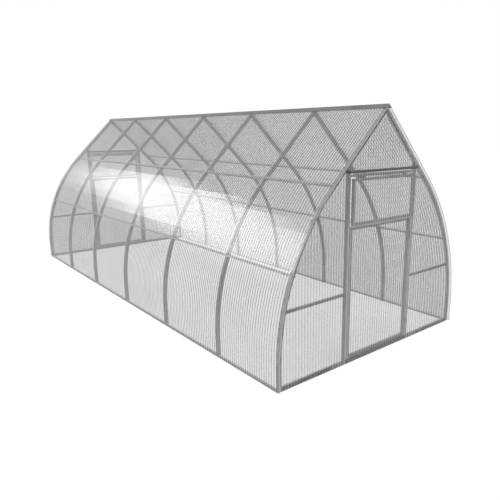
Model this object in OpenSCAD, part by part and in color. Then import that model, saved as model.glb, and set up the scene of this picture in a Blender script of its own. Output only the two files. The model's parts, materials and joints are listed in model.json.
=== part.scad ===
// Pointed-arch greenhouse: bent tube arches carrying fluted sheets, with a
// hinged door below a vent leaf in the middle of each end wall.
// Origin: middle of the plan, on the ground. X across, Y along the ridge
// with the front end at -Y, Z up. Millimetres.

/* [Arch outline] */
// Half of the width over the arches, at the ground
half_width = 1200; // [1000:10:1600]
// Height of the upright foot of an arch, below its bend
foot_h = 225; // [100:5:400]
// Radius of the bend, to the outside of the arch
bend_r = 1915; // [1500:5:2400]
// Angle that the bend turns through, and the rafter's lean from upright
bend_angle = 45; // [35:1:50]

/* [Length] */
// Length of the side sheets and the ridge cap
sheet_len = 6000; // [4000:10:9000]
// How far the side sheets run past each end arch
overhang = 25; // [10:1:60]
// Front arch to the first inner arch, between their middles
front_bay = 875; // [500:5:1100]
// Last inner arch to the back arch, between their middles
back_bay = 975; // [500:5:1100]

/* [Tubes] */
// Face of an arch, post or sill tube
tube_face = 40; // [30:1:60]
// Depth of every tube, and the side of the square lengthwise rails
tube_depth = 20; // [15:1:40]
// Height of the rails beside the doorway
rail_h = 25; // [20:1:40]
// Height of the header over the vent leaf
header_h = 20; // [15:1:40]
// Width of the door leaf's bars
leaf_bar = 30; // [20:1:40]
// Width of the vent leaf's bars
vent_bar = 20; // [16:1:30]
// Depth of the vent leaf's bars
vent_depth = 30; // [15:1:40]

/* [Sheets] */
// Thickness of the fluted sheet
sheet_t = 6; // [4:1:16]
// Lap of an end sheet on the tube that carries it
lap = 15; // [10:1:20]
// Height of the end sheets' lower edge
sheet_foot = 5; // [2:1:20]
// Flange of the folded ridge cap
cap_flange = 45; // [30:1:80]
// Thickness of folded steel trim
trim_t = 2; // [1:0.5:3]

/* [End walls] */
// Doorway, between the two posts
doorway_w = 840; // [600:10:1000]
// Top of the header, below the place where the rafter meets a post
header_drop = 76; // [50:2:150]
// Height of the vent leaf
vent_h = 384; // [200:2:500]
// Gap over and under the vent leaf, and over the header
vent_gap = 12; // [6:1:20]
// Middle of the rails beside the doorway
mid_rail_z = 655; // [400:5:900]
// Height of the dark drip trim over the vent leaf
drip_h = 22; // [15:1:40]
// Depth of the drip trim
drip_d = 20; // [8:1:30]

/* [Purlins] */
// Height of the lower purlins' middle
low_purlin_z = 938; // [700:2:1100]
// Height of the upper purlins' middle
high_purlin_z = 1598; // [1500:2:1700]

/* [Door hinges] */
// Outside radius of a hinge barrel
barrel_r = 7; // [6:0.5:9]
// Length of each half of a hinge barrel
barrel_h = 32; // [20:1:60]
// Radius of the hinge pin
pin_r = 4; // [3:0.5:5]
// Height of the lower hinge's joint above the leaf's foot
hinge_inset = 170; // [80:5:300]

/* [Hidden] */
leaf_gap = 6;          // clear gap round a leaf
seat_gap = 0.3;        // curved faces stay this far apart
pin_clear = 0.05;      // radial running clearance of a hinge pin
thrust_gap = 0.5;      // between the two halves of a hinge barrel
barrel_stand = 1;      // hinge barrel clear of the leaf's face
plate_t = 3;           // hinge plate
panel_gap = 2;         // between sheets, and from a sheet to a hinge plate
vent_hinge_w = 60;     // width of a vent hinge's strap
vent_hinge_x = 250;    // middle of the vent leaf to the near side of a strap
ARC_FN = 720;
FAR = 4000;            // past everything

// Arch outline
bend_c = [half_width - bend_r, foot_h];
down_rafter = [sin(bend_angle), -cos(bend_angle)];
function bend_end(d) = bend_c + (bend_r + d) * [cos(bend_angle), sin(bend_angle)];
function apex_z(d) = bend_end(d)[1] + bend_end(d)[0] / tan(bend_angle);
// Half width of the outline at height z, above the foot
function half_at(z) =
    z > bend_end(0)[1]
        ? (apex_z(0) - z) * tan(bend_angle)
        : bend_c[0] + sqrt(pow(bend_r, 2) - pow(z - foot_h, 2));
// Underside of the rafter over x
function rafter_z(x) = apex_z(-tube_face) - x / tan(bend_angle);
// Lean of the outline from upright at height z
function lean_at(z) = z > bend_end(0)[1] ? bend_angle : asin((z - foot_h) / bend_r);

// Lengthwise places
frame_len = sheet_len - 2 * overhang;
end_face = frame_len / 2;
end_arch_y = end_face - tube_depth / 2;
INNER_ARCHES = 5;
arch_pitch = (2 * end_arch_y - front_bay - back_bay) / (INNER_ARCHES - 1);
inner_arch_y = [for (i = [0:INNER_ARCHES - 1]) -end_arch_y + front_bay + i * arch_pitch];
arch_y = concat([-end_arch_y], inner_arch_y, [end_arch_y]);
BAYS = [0:INNER_ARCHES];
seam_y = [-sheet_len / 2, inner_arch_y[1], inner_arch_y[3], sheet_len / 2];

// End walls
post_in = doorway_w / 2;
post_out = post_in + tube_face;
sheet_in = post_out - lap;
leaf_x = post_in - leaf_gap;
leaf_foot = tube_face + leaf_gap;
header_top = rafter_z(post_in) - header_drop;
header_z = header_top - header_h;
vent_top = header_z - vent_gap;
vent_foot = vent_top - vent_h;
leaf_top_z = vent_foot - vent_gap;
drip_z = header_top + vent_gap;
drip_half = (apex_z(-tube_face) - drip_z - drip_h) * tan(bend_angle);
cap_in = 2 * seat_gap + sheet_t;
hinge_x = post_in - leaf_gap / 2;
hinge_y = -end_face - barrel_r - barrel_stand;
hinge_z = [leaf_foot + hinge_inset, leaf_top_z - hinge_inset];

steel = [0.60, 0.61, 0.62];
dark_steel = [0.38, 0.39, 0.40];
clear_sheet = [0.80, 0.84, 0.86, 0.45];

// ---------- shared shapes ----------

// Set out from the middle of the bend, with X pointing at the bend's end,
// and cut to the right half above the foot
module bend_frame()
    intersection() {
        translate([0, foot_h])
            square(FAR);
        translate(bend_c)
            rotate(bend_angle)
                children();
    }

// The part of a circle below the bend's end
module bend_disc(r)
    intersection() {
        circle(r = r, $fn = ARC_FN);
        translate([-FAR, -2 * FAR])
            square(2 * FAR);
    }

// Right half of the outline as a band from offset d0 out to d1, foot at z0
module half_band(d0, d1, z0 = 0) {
    translate([half_width + d0, z0])
        square([d1 - d0, foot_h - z0]);
    bend_frame() {
        difference() {
            bend_disc(bend_r + d1);
            circle(r = bend_r + d0, $fn = ARC_FN);
        }
        translate([bend_r + d0, 0])
            square([d1 - d0, FAR]);
    }
}

// Everything inside the outline moved out by d, on the right half
module half_inside(d) {
    square([half_width + d, foot_h]);
    bend_frame() {
        bend_disc(bend_r + d);
        square([bend_r + d, FAR]);
    }
}

// A drawing in X and Z, made solid along Y from y0 to y1
module along(y0, y1)
    translate([0, y1, 0])
        rotate([90, 0, 0])
            linear_extrude(y1 - y0)
                children();

// A half drawing and its mirror image
module both_halves() {
    children();
    mirror([1, 0])
        children();
}

// One piece of a lengthwise rail in each bay, between the arches' faces
module in_each_bay()
    for (i = BAYS)
        along(arch_y[i] + tube_depth / 2, arch_y[i + 1] - tube_depth / 2)
            children();

module at_left() mirror([1, 0, 0]) children();
module at_back() rotate([0, 0, 180]) children();

// ---------- arches and rails ----------

// Bent tube from the ground on one side, over the ridge, to the other
module arch(y)
    color(steel)
        along(y - tube_depth / 2, y + tube_depth / 2)
            both_halves() half_band(-tube_face, 0);

module base_rail()
    color(steel)
        in_each_bay()
            translate([half_width - tube_depth, 0])
                square(tube_depth);

// A purlin's section, its outer face just under the side sheet
module purlin_section(z)
    translate([half_at(z), z])
        rotate(lean_at(z))
            translate([-tube_depth - seat_gap, -tube_depth / 2])
                square(tube_depth);

module purlins()
    color(steel)
        in_each_bay() {
            purlin_section(low_purlin_z);
            purlin_section(high_purlin_z);
        }

// Square tube set on its corner under the ridge
module ridge_tube()
    color(steel)
        in_each_bay()
            both_halves()
                polygon([[0, apex_z(0)],
                         [0, apex_z(0)] + tube_depth * down_rafter,
                         [0, apex_z(0) - 2 * tube_depth * cos(bend_angle)]]);

// ---------- side sheets and ridge cap ----------

module side_sheet(i)
    color(clear_sheet)
        along(seam_y[i], seam_y[i + 1])
            half_band(seat_gap, seat_gap + sheet_t, sheet_foot);

// Steel strip folded over the ridge, on the top edges of the side sheets
module folded_cap() {
    flange = cap_flange * down_rafter;
    inner = [0, apex_z(cap_in)];
    outer = [0, apex_z(cap_in + trim_t)];
    color(dark_steel)
        along(-sheet_len / 2, sheet_len / 2)
            polygon([outer, outer + flange, inner + flange,
                     inner, inner + at_mirror(flange), outer + at_mirror(flange)]);
}
function at_mirror(p) = [-p[0], p[1]];

// ---------- end wall, drawn for the front ----------

// In the end arch's own thickness
module in_end_frame()
    along(-end_face, -end_face + tube_depth)
        children();

// A sheet's thickness, lying on the end frame or standing out from it
module on_end_face(out = 0)
    along(-end_face - out - sheet_t, -end_face - out)
        children();

module sill()
    color(steel)
        in_end_frame()
            translate([tube_face - half_width, 0])
                square([2 * (half_width - tube_face), tube_face]);

module posts()
    color(steel)
        in_end_frame()
            both_halves()
                polygon([[post_in, tube_face], [post_out, tube_face],
                         [post_out, rafter_z(post_out)],
                         [post_in, rafter_z(post_in)]]);

module header()
    color(steel)
        in_end_frame()
            translate([-post_in, header_z])
                square([doorway_w, header_h]);

module mid_rails()
    color(steel)
        in_end_frame()
            both_halves()
                intersection() {
                    half_inside(-tube_face - seat_gap);
                    translate([post_out, mid_rail_z - rail_h / 2])
                        square([half_width, rail_h]);
                }

// The two sheets beside the doorway, and the strip on the sill between them
module side_panels()
    color(clear_sheet)
        on_end_face() {
            both_halves()
                intersection() {
                    half_inside(lap - tube_face);
                    translate([sheet_in, sheet_foot])
                        square([half_width, apex_z(0)]);
                }
            translate([leaf_gap - sheet_in, sheet_foot])
                square([2 * (sheet_in - leaf_gap), tube_face - sheet_foot]);
        }

module gable_panel()
    color(clear_sheet)
        on_end_face()
            both_halves()
                intersection() {
                    half_inside(lap - tube_face);
                    translate([0, drip_z + drip_h / 2])
                        square([sheet_in - panel_gap, apex_z(0)]);
                }

// Bar that sheds rain over the vent leaf and holds the gable sheet's lower edge
module drip_strip()
    color(dark_steel)
        along(-end_face - sheet_t - drip_d, -end_face - sheet_t)
            translate([-drip_half, drip_z])
                square([2 * drip_half, drip_h]);

// The bars of a leaf, from its foot to its top, as one welded ring
module leaf_bars(z0, z1, bar)
    difference() {
        translate([-leaf_x, z0])
            square([2 * leaf_x, z1 - z0]);
        translate([bar - leaf_x, z0 + bar])
            square([2 * (leaf_x - bar), z1 - z0 - 2 * bar]);
    }

// A sheet over a leaf, from z0 to z1, lapping on the leaf's stiles
module leaf_panel(z0, z1, bar)
    translate([bar - lap - leaf_x, z0])
        square([2 * (leaf_x - bar + lap), z1 - z0]);

// Vent leaf, standing out in front of the posts, with two hinge straps
// that run from the back of its top bar up the face of the header
module vent_bars()
    color(steel) {
        along(-end_face - sheet_t - vent_depth, -end_face - sheet_t)
            leaf_bars(vent_foot, vent_top, vent_bar);
        on_end_face()
            both_halves()
                translate([vent_hinge_x, vent_top - vent_bar])
                    square([vent_hinge_w, header_top - vent_top + vent_bar]);
    }

// Reaches up over the header, to just under the drip trim
module vent_panel()
    color(clear_sheet)
        on_end_face(sheet_t + vent_depth)
            leaf_panel(vent_foot, drip_z - panel_gap, vent_bar);

module door_bars()
    color(steel)
        in_end_frame()
            leaf_bars(leaf_foot, leaf_top_z, leaf_bar);

module door_panel()
    color(clear_sheet)
        on_end_face()
            leaf_panel(leaf_foot, leaf_top_z - leaf_bar + lap, leaf_bar);

// One half of a hinge, its foot at z: barrel, web, and plate from x0 to x1
module hinge_half(z, web_x0, web_x1, x0, x1)
    translate([0, 0, z]) {
        translate([hinge_x, hinge_y, 0])
            cylinder(r = barrel_r, h = barrel_h, $fn = 48);
        translate([web_x0, hinge_y, 0])
            cube([web_x1 - web_x0, -end_face - hinge_y, barrel_h]);
        translate([x0, -end_face - plate_t, 0])
            cube([x1 - x0, plate_t, barrel_h]);
    }

// Lower halves, welded to the post, each with the pin standing in it
module pin_halves()
    color(steel)
        for (z = hinge_z) {
            hinge_half(z - barrel_h, post_in, hinge_x + barrel_r,
                       post_in, sheet_in - panel_gap);
            translate([hinge_x, hinge_y, z - barrel_h])
                cylinder(r = pin_r, h = 2 * barrel_h, $fn = 48);
        }

// Upper halves, welded to the leaf, turning on the pins
module sleeve_halves()
    color(steel)
        for (z = hinge_z)
            difference() {
                hinge_half(z + thrust_gap, hinge_x - barrel_r, leaf_x,
                           leaf_x - leaf_bar + lap + panel_gap, leaf_x);
                translate([hinge_x, hinge_y, z])
                    cylinder(r = pin_r + pin_clear, h = 2 * barrel_h, $fn = 48);
            }

// ---------- nodes ----------

module base_rail_left() at_left() base_rail();
module base_rail_right() base_rail();
module purlins_left() at_left() purlins();
module purlins_right() purlins();
module ridge_purlin() ridge_tube();

module front_arch() arch(arch_y[0]);
module inner_arch_1() arch(arch_y[1]);
module inner_arch_2() arch(arch_y[2]);
module inner_arch_3() arch(arch_y[3]);
module inner_arch_4() arch(arch_y[4]);
module inner_arch_5() arch(arch_y[5]);
module back_arch() arch(arch_y[6]);

module left_sheet_front() at_left() side_sheet(0);
module left_sheet_middle() at_left() side_sheet(1);
module left_sheet_back() at_left() side_sheet(2);
module right_sheet_front() side_sheet(0);
module right_sheet_middle() side_sheet(1);
module right_sheet_back() side_sheet(2);
module ridge_cap() folded_cap();

module front_sill() sill();
module front_posts() posts();
module front_header() header();
module front_mid_rails() mid_rails();
module front_side_sheets() side_panels();
module front_gable_sheet() gable_panel();
module front_drip_trim() drip_strip();
module front_vent_frame() vent_bars();
module front_vent_sheet() vent_panel();
module front_hinge_pins() pin_halves();
module front_door_frame() door_bars();
module front_door_sheet() door_panel();
module front_hinge_sleeves() sleeve_halves();

module back_sill() at_back() sill();
module back_posts() at_back() posts();
module back_header() at_back() header();
module back_mid_rails() at_back() mid_rails();
module back_side_sheets() at_back() side_panels();
module back_gable_sheet() at_back() gable_panel();
module back_drip_trim() at_back() drip_strip();
module back_vent_frame() at_back() vent_bars();
module back_vent_sheet() at_back() vent_panel();
module back_hinge_pins() at_back() pin_halves();
module back_door_frame() at_back() door_bars();
module back_door_sheet() at_back() door_panel();
module back_hinge_sleeves() at_back() sleeve_halves();

base_rail_left();
base_rail_right();
purlins_left();
purlins_right();
ridge_purlin();
front_arch();
inner_arch_1();
inner_arch_2();
inner_arch_3();
inner_arch_4();
inner_arch_5();
back_arch();
left_sheet_front();
left_sheet_middle();
left_sheet_back();
right_sheet_front();
right_sheet_middle();
right_sheet_back();
ridge_cap();
front_sill();
front_posts();
front_header();
front_mid_rails();
front_side_sheets();
front_gable_sheet();
front_drip_trim();
front_vent_frame();
front_vent_sheet();
front_hinge_pins();
front_door_frame();
front_door_sheet();
front_hinge_sleeves();
back_sill();
back_posts();
back_header();
back_mid_rails();
back_side_sheets();
back_gable_sheet();
back_drip_trim();
back_vent_frame();
back_vent_sheet();
back_hinge_pins();
back_door_frame();
back_door_sheet();
back_hinge_sleeves();
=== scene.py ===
import math

import bpy
from mathutils import Matrix, Vector
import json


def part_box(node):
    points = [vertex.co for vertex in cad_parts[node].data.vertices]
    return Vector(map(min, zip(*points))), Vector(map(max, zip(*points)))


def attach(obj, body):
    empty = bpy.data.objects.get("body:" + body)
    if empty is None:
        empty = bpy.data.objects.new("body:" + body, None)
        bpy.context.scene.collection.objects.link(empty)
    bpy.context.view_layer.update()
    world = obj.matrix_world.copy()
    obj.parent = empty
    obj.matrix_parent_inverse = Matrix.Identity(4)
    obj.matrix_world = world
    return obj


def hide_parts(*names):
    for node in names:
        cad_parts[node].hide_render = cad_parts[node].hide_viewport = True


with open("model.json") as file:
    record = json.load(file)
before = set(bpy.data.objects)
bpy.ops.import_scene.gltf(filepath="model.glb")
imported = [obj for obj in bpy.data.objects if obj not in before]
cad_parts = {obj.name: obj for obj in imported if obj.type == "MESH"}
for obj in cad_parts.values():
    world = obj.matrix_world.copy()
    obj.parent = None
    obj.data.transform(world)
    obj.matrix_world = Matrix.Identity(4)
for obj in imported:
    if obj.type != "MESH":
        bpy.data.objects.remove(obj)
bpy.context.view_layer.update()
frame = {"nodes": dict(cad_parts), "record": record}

# ---------- camera ----------
# Stands off the front left corner a little under ridge height, looking down the left wall.
bpy.ops.object.select_all(action="DESELECT")
bpy.ops.object.camera_add(
    location=(-3.411, -5.693, 1.988),
    rotation=(math.radians(90 - 14.21), 0, math.radians(-41.07)),
)
camera = bpy.context.object
camera.data.lens = 35.45
camera.data.shift_x = -0.0858
camera.data.shift_y = 0.0164
bpy.context.scene.camera = camera
bpy.context.scene.view_settings.view_transform = "Standard"
bpy.context.scene.cycles.transparent_max_bounces = 48

# ---------- floor and light ----------
# Pale floor that keeps a soft shadow, a white surround, a soft sun almost overhead, and a wide
# soft lamp low beyond the left wall's back end, which the bent sheets mirror as a long band.
FLOOR_SIZE = 120
FLOOR_DROP = 0.0005
FLOOR_GREY = 0.32
FLOOR_GLOW = 0.63
bpy.ops.mesh.primitive_plane_add(size=FLOOR_SIZE, location=(0, 0, -FLOOR_DROP))
floor = bpy.context.object
floor.name = "floor"


def floor_material():
    m = bpy.data.materials.new("pale_floor")
    m.use_nodes = True
    nt = m.node_tree
    nt.nodes.clear()
    out = nt.nodes.new("ShaderNodeOutputMaterial")
    add = nt.nodes.new("ShaderNodeAddShader")
    lit = nt.nodes.new("ShaderNodeBsdfDiffuse")
    lit.inputs["Color"].default_value = (FLOOR_GREY, FLOOR_GREY, FLOOR_GREY, 1)
    glow = nt.nodes.new("ShaderNodeEmission")
    glow.inputs["Color"].default_value = (1, 1, 1, 1)
    path = nt.nodes.new("ShaderNodeLightPath")
    seen = nt.nodes.new("ShaderNodeMath")
    seen.operation = "MAXIMUM"
    seen_all = nt.nodes.new("ShaderNodeMath")
    seen_all.operation = "MAXIMUM"
    level = nt.nodes.new("ShaderNodeMath")
    level.operation = "MULTIPLY"
    level.inputs[1].default_value = FLOOR_GLOW
    nt.links.new(path.outputs["Is Camera Ray"], seen.inputs[0])
    nt.links.new(path.outputs["Is Glossy Ray"], seen.inputs[1])
    nt.links.new(seen.outputs[0], seen_all.inputs[0])
    nt.links.new(path.outputs["Is Transmission Ray"], seen_all.inputs[1])
    nt.links.new(seen_all.outputs[0], level.inputs[0])
    nt.links.new(level.outputs[0], glow.inputs["Strength"])
    nt.links.new(lit.outputs[0], add.inputs[0])
    nt.links.new(glow.outputs[0], add.inputs[1])
    nt.links.new(add.outputs[0], out.inputs["Surface"])
    return m


floor.data.materials.append(floor_material())

SURROUND_LIGHT = 0.25
SURROUND_SEEN = 1.0
world = bpy.data.worlds.new("white_surround")
bpy.context.scene.world = world
world.use_nodes = True
nt = world.node_tree
sky = nt.nodes["Background"]
sky.inputs["Color"].default_value = (1, 1, 1, 1)
path = nt.nodes.new("ShaderNodeLightPath")
seen = nt.nodes.new("ShaderNodeMath")
seen.operation = "MAXIMUM"
seen_all = nt.nodes.new("ShaderNodeMath")
seen_all.operation = "MAXIMUM"
level = nt.nodes.new("ShaderNodeMapRange")
level.inputs["To Min"].default_value = SURROUND_LIGHT
level.inputs["To Max"].default_value = SURROUND_SEEN
nt.links.new(path.outputs["Is Camera Ray"], seen.inputs[0])
nt.links.new(path.outputs["Is Glossy Ray"], seen.inputs[1])
nt.links.new(seen.outputs[0], seen_all.inputs[0])
nt.links.new(path.outputs["Is Transmission Ray"], seen_all.inputs[1])
nt.links.new(seen_all.outputs[0], level.inputs["Value"])
nt.links.new(level.outputs["Result"], sky.inputs["Strength"])

bpy.ops.object.light_add(type="SUN", rotation=(math.radians(9), math.radians(-4), 0))
sun = bpy.context.object
sun.data.energy = 3.2
sun.data.angle = math.radians(30)

LAMP_AIM = Vector((-1.05, -1.0, 1.16))
LAMP_FROM = Vector((-0.435, 0.819, 0.374))
LAMP_AWAY = 40
bpy.ops.object.light_add(type="AREA", location=LAMP_AIM + LAMP_FROM * LAMP_AWAY)
lamp = bpy.context.object
lamp.rotation_euler = LAMP_FROM.to_track_quat("Z", "Y").to_euler()
lamp.data.shape = "ELLIPSE"
lamp.data.size = 28
lamp.data.size_y = 14
lamp.data.energy = 4700
lamp.visible_camera = False


# ---------- ground rails, arches and every other bar of bent steel tube ----------
# Galvanised steel tube: 40 x 20 mm arches and posts, 20 mm square rails and purlins.
# Dull zinc with faint crystals about 12 mm across, cloudy patches and a fine grain in its surface.
def galvanised(name, shade):
    m = bpy.data.materials.new(name)
    m.use_nodes = True
    nt = m.node_tree
    steel = nt.nodes["Principled BSDF"]
    steel.inputs["Metallic"].default_value = 0.45
    place = nt.nodes.new("ShaderNodeTexCoord")
    crystals = nt.nodes.new("ShaderNodeTexVoronoi")
    crystals.inputs["Scale"].default_value = 85
    clouds = nt.nodes.new("ShaderNodeTexNoise")
    clouds.inputs["Scale"].default_value = 6
    clouds.inputs["Detail"].default_value = 6
    grains = nt.nodes.new("ShaderNodeTexNoise")
    grains.inputs["Scale"].default_value = 900
    grains.inputs["Detail"].default_value = 2
    for texture in (crystals, clouds, grains):
        nt.links.new(place.outputs["Object"], texture.inputs["Vector"])
    mixed = nt.nodes.new("ShaderNodeMix")
    mixed.inputs["Factor"].default_value = 0.45
    nt.links.new(crystals.outputs["Color"], mixed.inputs["A"])
    nt.links.new(clouds.outputs["Fac"], mixed.inputs["B"])
    tone = nt.nodes.new("ShaderNodeValToRGB")
    tone.color_ramp.elements[0].position = 0.2
    tone.color_ramp.elements[0].color = tuple(0.86 * c for c in shade) + (1,)
    tone.color_ramp.elements[1].position = 0.8
    tone.color_ramp.elements[1].color = tuple(1.12 * c for c in shade) + (1,)
    nt.links.new(mixed.outputs["Result"], tone.inputs["Fac"])
    nt.links.new(tone.outputs["Color"], steel.inputs["Base Color"])
    rough = nt.nodes.new("ShaderNodeMapRange")
    rough.inputs["To Min"].default_value = 0.36
    rough.inputs["To Max"].default_value = 0.56
    nt.links.new(mixed.outputs["Result"], rough.inputs["Value"])
    nt.links.new(rough.outputs["Result"], steel.inputs["Roughness"])
    bump = nt.nodes.new("ShaderNodeBump")
    bump.inputs["Strength"].default_value = 0.25
    bump.inputs["Distance"].default_value = 0.0002
    nt.links.new(grains.outputs["Fac"], bump.inputs["Height"])
    nt.links.new(bump.outputs["Normal"], steel.inputs["Normal"])
    return m


zinc = galvanised("galvanised_zinc", (0.50, 0.505, 0.51))
TUBES = [
    n["node"]
    for n in frame["record"]["subparts"]
    if n["material_slot"] == "galvanised_tube"
]
for node in TUBES:
    tube = frame["nodes"][node]
    tube.data.materials.clear()
    tube.data.materials.append(zinc)


# ---------- bent side sheets ----------
# Clear fluted polycarbonate, 6 mm thick, two skins held apart by webs every 32 mm.
# Three sheets a side are bent cold over the arches, from the ground up to the ridge. Seen close,
# each web shows as a grey line, and the cut ends show milky.
SHEET_T = 0.006
SKIN = 0.0007
FLUTE = 0.032
FOOT_H = 0.225
BEND_R = 1.915
HALF_WIDTH = 1.2
BEND = math.radians(45)
BEND_STEPS = 14
RISE = 0.9
LINE_HALF_WIDTH = 0.07
LINE_FADED_BY = 0.25
SQUARE_ON_SHINE = 0.04
BACK_PASSES = 0.97


def mix_of(nt, factor, first, second):
    mix = nt.nodes.new("ShaderNodeMixShader")
    nt.links.new(factor, mix.inputs[0])
    nt.links.new(first, mix.inputs[1])
    nt.links.new(second, mix.inputs[2])
    return mix.outputs[0]


def reckoned(nt, operation, first, second):
    node = nt.nodes.new("ShaderNodeMath")
    node.operation = operation
    for socket, value in zip(node.inputs, (first, second)):
        if isinstance(value, (int, float)):
            socket.default_value = value
        else:
            nt.links.new(value, socket)
    return node.outputs[0]


def near_web(nt, from_web, on_web, off_web):
    """A value that goes smoothly from on_web over a web to off_web between two webs."""
    line = nt.nodes.new("ShaderNodeMapRange")
    line.interpolation_type = "SMOOTHSTEP"
    line.inputs["From Min"].default_value = LINE_HALF_WIDTH
    line.inputs["From Max"].default_value = LINE_FADED_BY
    line.inputs["To Min"].default_value = on_web
    line.inputs["To Max"].default_value = off_web
    nt.links.new(from_web, line.inputs["Value"])
    return line.outputs["Result"]


def clear_plastic(name, passed, on_line, haze, tint, shine, roughness):
    """A clear wall, met from its front. passed and on_line are the shares of light let through
    between two webs and over a web, haze the share that shows as milky plastic, and shine how
    much more it mirrors edge on than square on. From behind it only passes light."""
    m = bpy.data.materials.new(name)
    m.use_nodes = True
    nt = m.node_tree
    out = nt.nodes["Material Output"]
    plastic = nt.nodes["Principled BSDF"]
    plastic.inputs["Base Color"].default_value = (*tint, 1)
    plastic.inputs["Roughness"].default_value = roughness
    plastic.inputs["Specular IOR Level"].default_value = 0.2
    place = nt.nodes.new("ShaderNodeTexCoord")
    across = nt.nodes.new("ShaderNodeSeparateXYZ")
    nt.links.new(place.outputs["UV"], across.inputs[0])
    from_web = reckoned(nt, "PINGPONG", across.outputs["X"], 0.5)
    drift = nt.nodes.new("ShaderNodeTexNoise")
    drift.inputs["Scale"].default_value = 2.5
    drift.inputs["Detail"].default_value = 5
    nt.links.new(place.outputs["Object"], drift.inputs["Vector"])
    patchy = nt.nodes.new("ShaderNodeMapRange")
    patchy.inputs["To Min"].default_value = 0.97
    patchy.inputs["To Max"].default_value = 1.03
    nt.links.new(drift.outputs["Fac"], patchy.inputs["Value"])
    through = nt.nodes.new("ShaderNodeBsdfTransparent")
    let_through = near_web(nt, from_web, on_line, passed)
    nt.links.new(
        reckoned(nt, "MULTIPLY", let_through, patchy.outputs["Result"]), through.inputs["Color"]
    )
    body = through.outputs[0]
    if haze:
        milky = near_web(nt, from_web, 2 * haze, haze)
        body = mix_of(nt, milky, body, plastic.outputs[0])
    if shine:
        gloss = nt.nodes.new("ShaderNodeBsdfGlossy")
        gloss.inputs["Color"].default_value = (1, 1, 1, 1)
        gloss.inputs["Roughness"].default_value = roughness
        slant = nt.nodes.new("ShaderNodeLayerWeight")
        slant.inputs["Blend"].default_value = 0.5
        steep = reckoned(nt, "POWER", slant.outputs["Facing"], 2)
        mirrored = reckoned(nt, "MULTIPLY_ADD", steep, shine)
        mirrored.node.inputs[2].default_value = SQUARE_ON_SHINE
        body = mix_of(nt, mirrored, body, gloss.outputs[0])
    plain = nt.nodes.new("ShaderNodeBsdfTransparent")
    plain.inputs["Color"].default_value = (BACK_PASSES, BACK_PASSES, BACK_PASSES, 1)
    sides = nt.nodes.new("ShaderNodeNewGeometry")
    path = nt.nodes.new("ShaderNodeLightPath")
    unseen = reckoned(nt, "MAXIMUM", sides.outputs["Backfacing"], path.outputs["Is Shadow Ray"])
    seen_as = mix_of(nt, unseen, body, plain.outputs[0])
    nt.links.new(seen_as, out.inputs["Surface"])
    return m


skin_plastic = clear_plastic("clear_skin", 0.80, 0.52, 0.03, (0.40, 0.41, 0.42), 0.22, 0.19)
flute_plastic = clear_plastic("flute_wall", 0.985, 0.985, 0, (0.50, 0.51, 0.52), 0, 0.2)
web_plastic = clear_plastic("sheet_web", 0.88, 0.88, 0.08, (0.42, 0.43, 0.44), 0, 0.3)
edge_plastic = clear_plastic("sheet_edge", 0.9, 0.9, 0.4, (0.93, 0.94, 0.94), 0, 0.4)


def flute_row(name, size, location, along, count):
    """A thin plate on edge, cut along into count cells, each with its middle taken out."""
    bpy.ops.object.select_all(action="DESELECT")
    bpy.ops.mesh.primitive_plane_add(size=1, calc_uvs=False, location=location)
    piece = bpy.context.object
    piece.name = name
    piece.scale = size
    bpy.ops.object.transform_apply(location=True, rotation=True, scale=True)
    ends = [[v.co[along] for v in (piece.data.vertices[i] for i in e.vertices)]
            for e in piece.data.edges]
    bpy.ops.object.mode_set(mode="EDIT")
    bpy.ops.mesh.select_mode(type="EDGE")
    bpy.ops.mesh.select_all(action="DESELECT")
    bpy.ops.object.mode_set(mode="OBJECT")
    for edge, (a, b) in zip(piece.data.edges, ends):
        edge.select = abs(a - b) > SHEET_T
    bpy.ops.object.mode_set(mode="EDIT")
    bpy.ops.mesh.subdivide(number_cuts=count - 1)
    bpy.ops.mesh.select_mode(type="FACE")
    bpy.ops.mesh.select_all(action="SELECT")
    bpy.ops.mesh.inset(thickness=SKIN, use_individual=True)
    bpy.ops.mesh.delete(type="FACE")
    bpy.ops.mesh.select_all(action="SELECT")
    return piece


def in_flute(across, pitch):
    """True off the lines of the webs, where only the flutes' own walls have corners."""
    return abs(across - round(across)) > 0.5 * SKIN / pitch


def finish_flutes(piece, along, skin):
    """Points the faces outwards, and gives the outer skins, the flutes' walls, the webs and the
    cut ends their own plastic."""
    bpy.ops.object.mode_set(mode="EDIT")
    bpy.ops.mesh.select_all(action="SELECT")
    bpy.ops.mesh.normals_make_consistent(inside=False)
    bpy.ops.object.mode_set(mode="OBJECT")
    start = min(v.co[along] for v in piece.data.vertices)
    reach = max(v.co[along] for v in piece.data.vertices) - start
    pitch = reach / round(reach / FLUTE)
    uv = piece.data.uv_layers.new(name="flutes")
    for loop in piece.data.loops:
        place = piece.data.vertices[loop.vertex_index].co
        uv.data[loop.index].uv = ((place[along] - start) / pitch, place.z)
    for plastic in (skin, flute_plastic, web_plastic, edge_plastic):
        piece.data.materials.append(plastic)
    for face in piece.data.polygons:
        if abs(face.normal[along]) > 0.9:
            inner = SKIN < face.center[along] - start < reach - SKIN
            face.material_index = 2 if inner else 3
        elif all(in_flute(uv.data[i].uv[0], pitch) for i in face.loop_indices):
            face.material_index = 1


def fit_sheet(piece, node, body):
    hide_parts(node)
    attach(piece, body)


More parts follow.
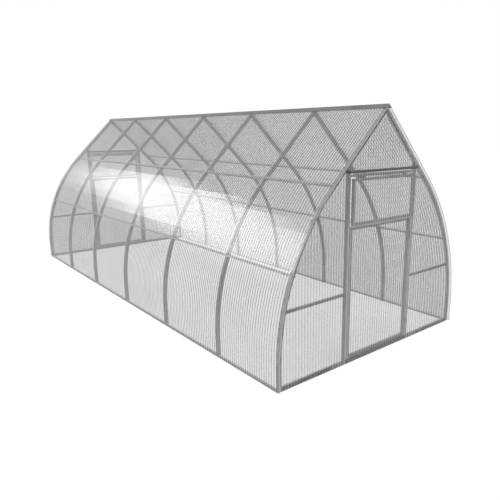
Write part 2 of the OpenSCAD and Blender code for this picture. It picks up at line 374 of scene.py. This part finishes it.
def bent_sheet(node, side):
    low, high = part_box(node)
    length = high.y - low.y
    piece = flute_row(
        node + "_fluted",
        (SHEET_T, length, 1),
        (side * (max(-low.x, high.x) - SHEET_T / 2), (low.y + high.y) / 2, low.z),
        1,
        round(length / FLUTE),
    )
    bpy.ops.mesh.extrude_region_move(TRANSFORM_OT_translate={"value": (0, 0, FOOT_H - low.z)})
    bpy.ops.mesh.spin(
        steps=BEND_STEPS,
        angle=side * BEND,
        center=(side * (HALF_WIDTH - BEND_R), 0, FOOT_H),
        axis=(0, 1, 0),
    )
    bpy.ops.mesh.extrude_region_move(
        TRANSFORM_OT_translate={"value": (-side * RISE, 0, RISE)}
    )
    bpy.ops.object.mode_set(mode="OBJECT")
    for v in piece.data.vertices:
        if v.select:
            rise = side * v.co.x
            v.co += Vector((-side * rise, 0, rise))
    finish_flutes(piece, 1, skin_plastic)
    fit_sheet(piece, node, "frame")


for part in ("front", "middle", "back"):
    bent_sheet(f"right_sheet_{part}", 1)
    bent_sheet(f"left_sheet_{part}", -1)

# ---------- flat sheets of the end walls ----------
# The same fluted sheet with its flutes upright: a panel on each side of the doorway with a strip
# along the sill, a pointed panel in the gable, one on the vent leaf and one on the door leaf.
LAP = 0.015
TUBE_FACE = 0.040
LEAF_GAP = 0.006
end_plastic = clear_plastic("clear_end_skin", 0.77, 0.61, 0.03, (0.40, 0.41, 0.42), 0.22, 0.19)


def under_arch(x):
    """Height of the end sheets' curved edge over x, on the arch's tube."""
    middle = HALF_WIDTH - BEND_R
    reach = BEND_R + LAP - TUBE_FACE
    turn_x = middle + reach * math.cos(BEND)
    turn_z = FOOT_H + reach * math.sin(BEND)
    if abs(x) < turn_x:
        return turn_z + (turn_x - abs(x)) / math.tan(BEND)
    return FOOT_H + math.sqrt(max(reach**2 - (abs(x) - middle) ** 2, 0))


def upright_sheet(name, x0, x1, y, z0, top):
    """Flutes from z0 up to top, which is a height or a function of x."""
    piece = flute_row(
        name, (x1 - x0, SHEET_T, 1), ((x0 + x1) / 2, y, z0), 0, round((x1 - x0) / FLUTE)
    )
    bpy.ops.mesh.extrude_region_move(TRANSFORM_OT_translate={"value": (0, 0, 1)})
    bpy.ops.object.mode_set(mode="OBJECT")
    for v in piece.data.vertices:
        if v.select:
            v.co.z = top(v.co.x) if callable(top) else top
    finish_flutes(piece, 0, end_plastic)
    return piece


def joined(pieces, name):
    bpy.ops.object.select_all(action="DESELECT")
    for piece in pieces:
        piece.select_set(True)
    bpy.context.view_layer.objects.active = pieces[0]
    bpy.ops.object.join()
    pieces[0].name = name
    return pieces[0]


def middle_y(node):
    low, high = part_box(node)
    return (low.y + high.y) / 2


for end in ("front", "back"):
    sheet_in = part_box(f"{end}_posts")[1].x - LAP
    node = f"{end}_side_sheets"
    low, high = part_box(node)
    sill_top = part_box(f"{end}_sill")[1].z
    strip = sheet_in - LEAF_GAP
    y = middle_y(node)
    panels = [
        upright_sheet("panel", sheet_in, high.x, y, low.z, under_arch),
        upright_sheet("panel", low.x, -sheet_in, y, low.z, under_arch),
        upright_sheet("panel", -strip, strip, y, low.z, sill_top),
    ]
    fit_sheet(joined(panels, node + "_fluted"), node, "frame")

    node = f"{end}_gable_sheet"
    low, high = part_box(node)
    gable = upright_sheet(node + "_fluted", low.x, high.x, middle_y(node), low.z, under_arch)
    fit_sheet(gable, node, "frame")

    for leaf, body in (("vent", "frame"), ("door", f"{end}_door")):
        node = f"{end}_{leaf}_sheet"
        low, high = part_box(node)
        panel = upright_sheet(node + "_fluted", low.x, high.x, middle_y(node), low.z, high.z)
        fit_sheet(panel, node, body)


# ---------- ridge cap and drip trims ----------
# Sheet steel folded on a brake and coated satin grey: a cap over the ridge, and a bar over each
# vent leaf. The coat has a fine orange peel and chalks in patches.
def coated(name, shade):
    m = bpy.data.materials.new(name)
    m.use_nodes = True
    nt = m.node_tree
    coat = nt.nodes["Principled BSDF"]
    place = nt.nodes.new("ShaderNodeTexCoord")
    chalk = nt.nodes.new("ShaderNodeTexNoise")
    chalk.inputs["Scale"].default_value = 4
    chalk.inputs["Detail"].default_value = 7
    peel = nt.nodes.new("ShaderNodeTexNoise")
    peel.inputs["Scale"].default_value = 600
    for texture in (chalk, peel):
        nt.links.new(place.outputs["Object"], texture.inputs["Vector"])
    tone = nt.nodes.new("ShaderNodeValToRGB")
    tone.color_ramp.elements[0].position = 0.35
    tone.color_ramp.elements[0].color = tuple(0.85 * c for c in shade) + (1,)
    tone.color_ramp.elements[1].position = 0.7
    tone.color_ramp.elements[1].color = tuple(1.2 * c for c in shade) + (1,)
    nt.links.new(chalk.outputs["Fac"], tone.inputs["Fac"])
    nt.links.new(tone.outputs["Color"], coat.inputs["Base Color"])
    rough = nt.nodes.new("ShaderNodeMapRange")
    rough.inputs["To Min"].default_value = 0.38
    rough.inputs["To Max"].default_value = 0.55
    nt.links.new(chalk.outputs["Fac"], rough.inputs["Value"])
    nt.links.new(rough.outputs["Result"], coat.inputs["Roughness"])
    bump = nt.nodes.new("ShaderNodeBump")
    bump.inputs["Strength"].default_value = 0.2
    bump.inputs["Distance"].default_value = 0.0002
    nt.links.new(peel.outputs["Fac"], bump.inputs["Height"])
    nt.links.new(bump.outputs["Normal"], coat.inputs["Normal"])
    return m


dark_coat = coated("dark_coat", (0.115, 0.118, 0.122))
for node in ("ridge_cap", "front_drip_trim", "back_drip_trim"):
    trim = frame["nodes"][node]
    trim.data.materials.clear()
    trim.data.materials.append(dark_coat)

# ---------- sheet screws ----------
# Self-drilling roofing screws with a hexagon head over a pale washer. They hold the side sheets to
# the outer face of every arch, five up each side.
SCREW_HEAD = 0.008
WASHER = 0.018
WASHER_T = 0.0012
HEAD_H = 0.0024
CHAMFER_H = 0.0008
CHAMFERED = 0.82
SEAT_GAP = 0.0003


def bright_zinc(name, shade, roughness):
    m = bpy.data.materials.new(name)
    m.use_nodes = True
    nt = m.node_tree
    steel = nt.nodes["Principled BSDF"]
    steel.inputs["Metallic"].default_value = 0.6
    place = nt.nodes.new("ShaderNodeTexCoord")
    stain = nt.nodes.new("ShaderNodeTexNoise")
    stain.inputs["Scale"].default_value = 160
    stain.inputs["Detail"].default_value = 5
    nt.links.new(place.outputs["Object"], stain.inputs["Vector"])
    tone = nt.nodes.new("ShaderNodeValToRGB")
    tone.color_ramp.elements[0].position = 0.3
    tone.color_ramp.elements[0].color = tuple(0.8 * c for c in shade) + (1,)
    tone.color_ramp.elements[1].position = 0.7
    tone.color_ramp.elements[1].color = tuple(1.15 * c for c in shade) + (1,)
    nt.links.new(stain.outputs["Fac"], tone.inputs["Fac"])
    nt.links.new(tone.outputs["Color"], steel.inputs["Base Color"])
    worn = nt.nodes.new("ShaderNodeMapRange")
    worn.inputs["To Min"].default_value = roughness - 0.08
    worn.inputs["To Max"].default_value = roughness + 0.1
    nt.links.new(stain.outputs["Fac"], worn.inputs["Value"])
    nt.links.new(worn.outputs["Result"], steel.inputs["Roughness"])
    return m


pale_zinc = bright_zinc("pale_screw_zinc", (0.62, 0.62, 0.61), 0.35)
dark_zinc = bright_zinc("dark_screw_zinc", (0.14, 0.14, 0.145), 0.4)


def headed_screw(name, washer, head, finish):
    """A washer with a chamfered hexagon head on it, standing on the ground plane along Z."""
    bpy.ops.object.select_all(action="DESELECT")
    bpy.ops.mesh.primitive_cylinder_add(
        vertices=12, radius=washer / 2, depth=WASHER_T, location=(0, 0, WASHER_T / 2)
    )
    screw = bpy.context.object
    screw.name = name
    bpy.ops.object.transform_apply(location=True, rotation=True, scale=True)
    bpy.ops.object.mode_set(mode="EDIT")
    bpy.ops.mesh.select_all(action="DESELECT")
    bpy.ops.mesh.primitive_cylinder_add(
        vertices=6, radius=head / 2, depth=HEAD_H, location=(0, 0, WASHER_T + HEAD_H / 2)
    )
    bpy.ops.mesh.select_mode(type="FACE")
    bpy.ops.mesh.select_all(action="DESELECT")
    bpy.ops.object.mode_set(mode="OBJECT")
    top = max(screw.data.polygons, key=lambda face: face.center.z)
    top.select = True
    bpy.ops.object.mode_set(mode="EDIT")
    bpy.ops.mesh.extrude_region_move(TRANSFORM_OT_translate={"value": (0, 0, CHAMFER_H)})
    bpy.ops.transform.resize(value=(CHAMFERED, CHAMFERED, 1))
    bpy.ops.object.mode_set(mode="OBJECT")
    screw.data.materials.append(finish)
    return screw


def copied(master, matrix):
    """A copy of master with its own mesh, and its place in that mesh."""
    bpy.ops.object.select_all(action="DESELECT")
    fixing = master.copy()
    fixing.data = master.data.copy()
    bpy.context.collection.objects.link(fixing)
    fixing.matrix_world = matrix
    fixing.select_set(True)
    bpy.context.view_layer.objects.active = fixing
    bpy.ops.object.transform_apply(location=True, rotation=True, scale=True)
    return fixing


def set_out(master, places, name, body):
    """Copies of master at every (place, outward direction), joined into one piece."""
    copies = []
    for place, outward in places:
        turned = outward.to_track_quat("Z", "Y").to_matrix().to_4x4()
        copies.append(copied(master, Matrix.Translation(place) @ turned))
    piece = joined(copies, name)
    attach(piece, body)


def on_side(side, proud, angle, up_rafter, y):
    """The place and outward direction at an angle round the bend and a way up the rafter."""
    out = Vector((side * math.cos(angle), 0, math.sin(angle)))
    up = Vector((-side * math.sin(BEND), 0, math.cos(BEND)))
    middle = Vector((side * (HALF_WIDTH - BEND_R), y, FOOT_H))
    return middle + (BEND_R + proud) * out + up_rafter * up, out


ARCHES = ["front_arch", *(f"inner_arch_{i}" for i in range(1, 6)), "back_arch"]
SCREW_ROWS = [(10, 0), (23, 0), (36, 0), (45, 0.22), (45, 0.74)]
screw = headed_screw("sheet_screw", WASHER, SCREW_HEAD, pale_zinc)
for side, name in ((1, "right_sheet_screws"), (-1, "left_sheet_screws")):
    rows = [
        on_side(side, SHEET_T + SEAT_GAP, math.radians(turn), up, middle_y(arch))
        for arch in ARCHES
        for turn, up in SCREW_ROWS
    ]
    set_out(screw, rows, name, "frame")
bpy.data.objects.remove(screw)

# ---------- end wall screws ----------
# Dark zinc screws through the end sheets into the end arches, 31 mm in from the arch's outer face:
# three up each side of an end wall, the upper two on the rafter beside the vent leaf's top.
FROM_EDGE = 0.031
END_WASHER = 0.016
END_HEAD = 0.009
END_ROWS = [(21.9, 0), (45, 0.054), (45, 0.197)]
dark_screw = headed_screw("end_screw", END_WASHER, END_HEAD, dark_zinc)
for end, outward in (("front", -1), ("back", 1)):
    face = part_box(f"{end}_side_sheets")[0 if outward < 0 else 1].y
    places = []
    for side in (1, -1):
        for turn, up in END_ROWS:
            place, _ = on_side(side, -FROM_EDGE, math.radians(turn), up, face)
            places.append((place, Vector((0, outward, 0))))
    set_out(dark_screw, places, f"{end}_wall_screws", "frame")
bpy.data.objects.remove(dark_screw)

# ---------- purlin brackets ----------
# Angle plates bent from 2 mm galvanised strip, 18 mm wide, in the corner of each purlin's inner
# face and the arch, on both sides of every inner arch, with a dark screw into the purlin.
PLATE = 0.002
PLATE_WIDE = 0.018
LEG = 0.030
ARCH_LEG = 0.016
EDGE_ROUND = 0.0006
PLATE_WASHER = 0.011
PLATE_HEAD = 0.007
SCREW_ALONG = 0.021
ARCH_HALF_DEPTH = 0.010
PURLIN_Z = {"low": 0.938, "high": 1.598}
PURLIN_DEEP = 0.020 + SEAT_GAP
bpy.ops.object.select_all(action="DESELECT")
bpy.ops.mesh.primitive_cube_add(size=1)
bracket = bpy.context.object
bracket.name = "angle_plate"
bracket.scale = (PLATE_WIDE, LEG, PLATE)
bracket.location = (0, LEG / 2, PLATE / 2)
bpy.ops.object.transform_apply(location=True, rotation=True, scale=True)
bpy.ops.object.mode_set(mode="EDIT")
bpy.ops.mesh.select_mode(type="FACE")
bpy.ops.mesh.select_all(action="SELECT")
bpy.ops.mesh.bisect(plane_co=(0, PLATE, 0), plane_no=(0, 1, 0))
bpy.ops.mesh.select_all(action="DESELECT")
bpy.ops.object.mode_set(mode="OBJECT")
for face in bracket.data.polygons:
    face.select = face.normal.z > 0.9 and face.center.y < PLATE
bpy.ops.object.mode_set(mode="EDIT")
bpy.ops.mesh.extrude_region_move(TRANSFORM_OT_translate={"value": (0, 0, ARCH_LEG)})
bpy.ops.object.mode_set(mode="OBJECT")
bracket.data.materials.append(pale_zinc)
bpy.ops.object.modifier_add(type="BEVEL")
bracket.modifiers["Bevel"].width = EDGE_ROUND
bracket.modifiers["Bevel"].segments = 1
bpy.ops.object.modifier_apply(modifier="Bevel")
plate_screw = headed_screw("plate_screw", PLATE_WASHER, PLATE_HEAD, dark_zinc)


def bracket_places(side, turn, up, y):
    """The corner of a purlin's inner face and the arch, on each side of the arch at y."""
    place, out = on_side(side, -PURLIN_DEEP, turn, up, y)
    inward = -out
    for way in (1, -1):
        along = Vector((0, way, 0))
        turned = Matrix((along.cross(inward), along, inward)).transposed().to_4x4()
        yield Matrix.Translation(place + along * ARCH_HALF_DEPTH) @ turned


plates = []
for side in (1, -1):
    spots = []
    for z in PURLIN_Z.values():
        turn = math.asin(min((z - FOOT_H) / BEND_R, math.sin(BEND)))
        up = max(z - FOOT_H - BEND_R * math.sin(BEND), 0) / math.cos(BEND)
        spots.append((turn, up))
    for arch in ARCHES[1:-1]:
        for turn, up in spots:
            for corner in bracket_places(side, turn, up, middle_y(arch)):
                on_plate = Matrix.Translation(Vector((0, SCREW_ALONG, PLATE)))
                plates.append(copied(bracket, corner))
                plates.append(copied(plate_screw, corner @ on_plate))
brackets = joined(plates, "purlin_brackets")
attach(brackets, "frame")
bpy.data.objects.remove(bracket)
bpy.data.objects.remove(plate_screw)
